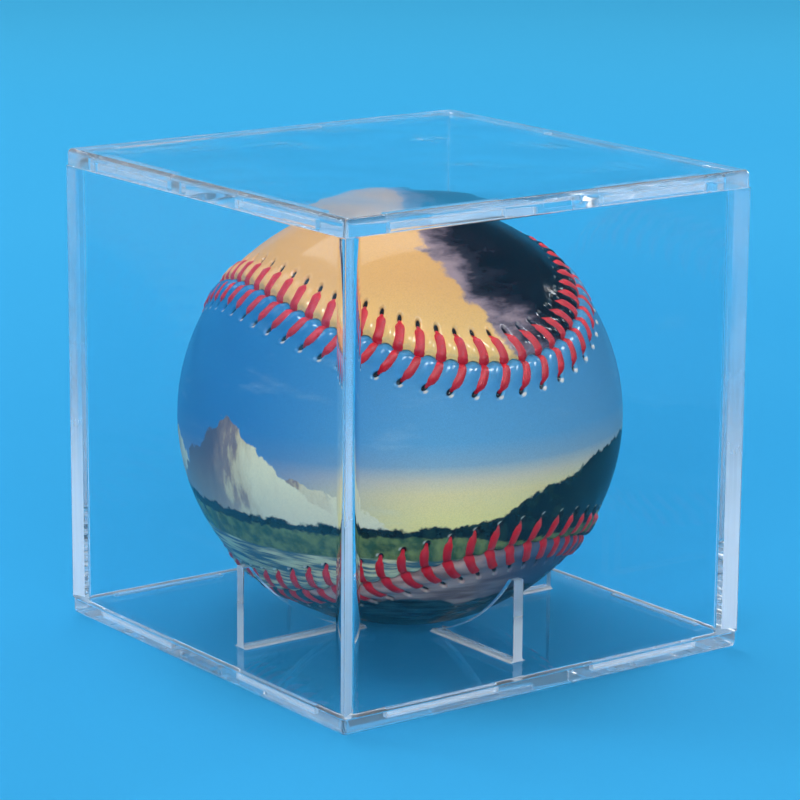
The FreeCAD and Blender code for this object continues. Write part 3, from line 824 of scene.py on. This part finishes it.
wall_ends = (TONGUE_NEAR, TONGUE_FAR, WALL_INNER, TONGUE_OUTER, WALL_OUTER)
wall_cuts = sorted([-end for end in wall_ends] + list(wall_ends))
sleeve = block_skin("wall_sleeve", wall_cuts, WALL_LEVELS, sleeve_cells(wall_cuts), "walls",
                    acrylic("acrylic_walls", wall_ends_cut, matt=0.03, frost=0.18))
eased = sleeve.modifiers.new("eased_edges", "BEVEL")
eased.width = WALL_EASE * MM
eased.segments = 2
eased.limit_method = "ANGLE"
level_faces(sleeve)
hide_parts("wall_front", "wall_back", "wall_left", "wall_right")


def cement_rings():
    """Rings of four upright films, one on each corner's diagonal: a thin oblong at each end of a corner."""
    across = np.sqrt(2) * np.array((CEMENT_NEAR, CEMENT_FAR, CEMENT_FAR, CEMENT_NEAR))
    thick = CEMENT_HALF_THICKNESS * np.array((-1.0, -1.0, 1.0, 1.0))
    film = np.array([np.column_stack((across, thick, np.full(4, end))) for end in CEMENT_ENDS])
    return np.array([turned_about_z(film, bearing) for bearing in (45, 135, 225, 315)])


def pale_cement():
    """Cloudy film: clear with a share of white that catches light on both sides, in fine upright streaks,
    and whiter toward the foot."""
    finish, tree, coordinates = blank_finish("pale_cement")
    place = coordinates.outputs["Object"]
    streaks = speckle(tree, stretched(tree, place, 1.0, 0.03), 1500.0, 3.0)
    clouds = speckle(tree, place, 120.0, 3.0)
    height = node(tree, "SeparateXYZ", {0: place}).outputs[2]
    toward_foot = rise(tree, height, CEMENT_CLEAR_ABOVE * MM, CEMENT_WHITE_BELOW * MM)
    share = sums(tree, (rise(tree, streaks, 0.3, 0.7), 0.06), (rise(tree, clouds, 0.3, 0.7), 0.04),
                 (toward_foot, 0.85), (0.03, 1.0))
    clear = node(tree, "BsdfTransparent", {"Color": (1.0, 1.0, 1.0, 1.0)})
    front = node(tree, "BsdfDiffuse", {"Color": CEMENT_WHITE})
    back = node(tree, "BsdfTranslucent", {"Color": CEMENT_WHITE})
    white = node(tree, "MixShader", {0: 0.5, 1: front.outputs[0], 2: back.outputs[0]})
    film = node(tree, "MixShader", {0: share, 1: clear.outputs[0], 2: white.outputs[0]})
    node(tree, "OutputMaterial", {"Surface": film.outputs[0]})
    return finish


cement = skin("corner_cement", cement_rings(), "walls", pale_cement())


# Lid: a clear acrylic plate with a round upper rim and slots in its underside for the wall tongues.
# It is made as the base plate is, so the solid stays and gets the same clear finish.

LID_SLOTS = (79.3, 80.7)
lid_cut = slots_and_rim(LID_SLOTS, slots=0.4, rim=0.25)
dress(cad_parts["lid_plate"], acrylic("acrylic_lid", lid_cut, matt=0.06, frost=0.16, waves=0.35))


# Studio: a plain blue floor that runs out of sight, a soft room, soft boxes round the case, a broad fill
# in front and two small lamps for shine, with the camera where the photograph was taken.

FLOOR_HALF = 4.0
FLOOR_LEVEL = -0.0002
ROOM_BLUE = paint(66, 180, 240)
ROOM_DIM = paint(34, 54, 70)
CEILING_WHITE = paint(186, 204, 216)
CASE_MIDDLE = Vector((0, 0, 40)) * MM
FOCAL_PIXELS = 3384
PICTURE_PIXELS = 800
CAMERA_DISTANCE = 0.57442


def floor_finish():
    """Matt painted board with a faint mottle, paler far from the case where less light falls."""
    finish, tree, coordinates = blank_finish("studio_floor")
    place = coordinates.outputs["Object"]
    mottle = speckle(tree, place, 3.0, 2.0)
    far = node(tree, "VectorMath", {0: place}, operation="LENGTH").outputs[1]
    colour = layer(tree, rise(tree, mottle, 0.3, 0.7), paint(50, 150, 206), paint(55, 154, 208))
    colour = layer(tree, rise(tree, far, 0.1, 1.4), colour, paint(76, 192, 244))
    gloss(tree, colour, 0.85, ripple(tree, mottle, 0.02, 0.001), Specular_IOR_Level=0.0)
    return finish


def floor_sheet():
    """Square floor just under the case, as a grid of two by two points."""
    side = np.array((-FLOOR_HALF, FLOOR_HALF))
    x, y = np.meshgrid(side, side)
    mesh = bpy.data.meshes.new("studio_floor")
    points = np.stack((x, y, np.full_like(x, FLOOR_LEVEL)), -1).reshape(-1, 3)
    mesh.from_pydata(points.tolist(), [], [(0, 1, 3, 2)])
    sheet = bpy.data.objects.new("studio_floor", mesh)
    bpy.context.scene.collection.objects.link(sheet)
    dress(sheet, floor_finish())


def room_light():
    """World: plain white light on the object; to the eye and in clear or glossy things it is the floor's
    blue low down, dim above that and white overhead."""
    world = bpy.data.worlds.new("studio_room")
    bpy.context.scene.world = world
    world.use_nodes = True
    tree = world.node_tree
    tree.nodes.clear()
    rays = node(tree, "LightPath", {})
    seen = sums(tree, (rays.outputs["Is Camera Ray"], 1.0), (rays.outputs["Is Glossy Ray"], 1.0),
                (rays.outputs["Is Transmission Ray"], 1.0))
    height = node(tree, "SeparateXYZ", {0: node(tree, "TexCoord", {}).outputs["Generated"]}).outputs[2]
    shown = ramp(tree, height, [
        (0.14, ROOM_BLUE), (0.36, ROOM_DIM), (0.80, ROOM_DIM), (0.92, CEILING_WHITE)])
    white = node(tree, "Background", {"Color": (0.93, 0.97, 1.0, 1.0), "Strength": 0.2})
    room = node(tree, "Background", {"Color": shown, "Strength": 1.0})
    eye = rise(tree, seen, 0.0, 1.0)
    either = node(tree, "MixShader", {0: eye, 1: white.outputs[0], 2: room.outputs[0]})
    node(tree, "OutputWorld", {"Surface": either.outputs[0]})


def soft_box(name, azimuth, elevation, distance, width, height, watts, light=True, shine=True):
    """Oblong lamp on a sphere about the case, turned to its middle; azimuth 0 is the front, 90 the right.
    One without shine isn't mirrored in glossy things, and one without light only shows there."""
    turn, tilt = np.radians((azimuth, elevation))
    away = Vector((np.sin(turn) * np.cos(tilt), -np.cos(turn) * np.cos(tilt), np.sin(tilt)))
    lamp = bpy.data.lights.new(name, "AREA")
    lamp.shape = "RECTANGLE"
    lamp.size = width
    lamp.size_y = height
    lamp.energy = watts
    box = bpy.data.objects.new(name, lamp)
    box.location = away * distance + CASE_MIDDLE
    box.rotation_mode = "QUATERNION"
    box.rotation_quaternion = away.to_track_quat("Z", "Y")
    box.visible_diffuse = light
    box.visible_glossy = shine
    box.visible_transmission = shine
    bpy.context.scene.collection.objects.link(box)


def photo_camera():
    """Camera of the photograph: a long lens, its focal length given in pixels, turned, raised and rolled."""
    turn, tilt, roll = np.radians((-36.423, 13.356, 0.428))
    target = Vector((-0.38, 0.0, 40.64)) * MM
    away = Vector((np.sin(turn) * np.cos(tilt), -np.cos(turn) * np.cos(tilt), np.sin(tilt)))
    right = (-away).cross(Vector((0, 0, 1))).normalized()
    up = right.cross(-away)
    lens = bpy.data.cameras.new("photo_camera")
    lens.sensor_width = 36.0
    lens.lens = lens.sensor_width * FOCAL_PIXELS / PICTURE_PIXELS
    lens.clip_start = 0.01
    eye = bpy.data.objects.new("photo_camera", lens)
    axes = (right * np.cos(roll) + up * np.sin(roll), up * np.cos(roll) - right * np.sin(roll), away)
    stand = Matrix.Translation(target + away * CAMERA_DISTANCE)
    eye.matrix_world = stand @ Matrix(axes).transposed().to_4x4()
    bpy.context.scene.collection.objects.link(eye)
    bpy.context.scene.camera = eye


floor_sheet()
room_light()
# name, azimuth, elevation, distance, width, height, watts
soft_box("box_top", 150, 80, 1.2, 0.8, 0.8, 7.5, shine=False)
soft_box("box_back", 162, 58, 1.2, 0.6, 0.6, 4.0)
soft_box("box_right", 92, 24, 1.1, 0.16, 0.16, 1.6)
soft_box("box_left", -150, 40, 1.1, 0.3, 0.3, 2.6)
soft_box("fill_front", -36, 24, 1.3, 1.2, 0.5, 14.5, shine=False)
soft_box("shine_left", -36, 56, 1.1, 0.4, 0.14, 56.0, light=False)
soft_box("shine_right", 28, 40, 1.1, 0.4, 0.14, 56.0, light=False)
photo_camera()

scene = bpy.context.scene
scene.view_settings.view_transform = "Standard"
scene.cycles.max_bounces = 64
scene.cycles.transmission_bounces = 64
scene.cycles.transparent_max_bounces = 64
scene.cycles.glossy_bounces = 64
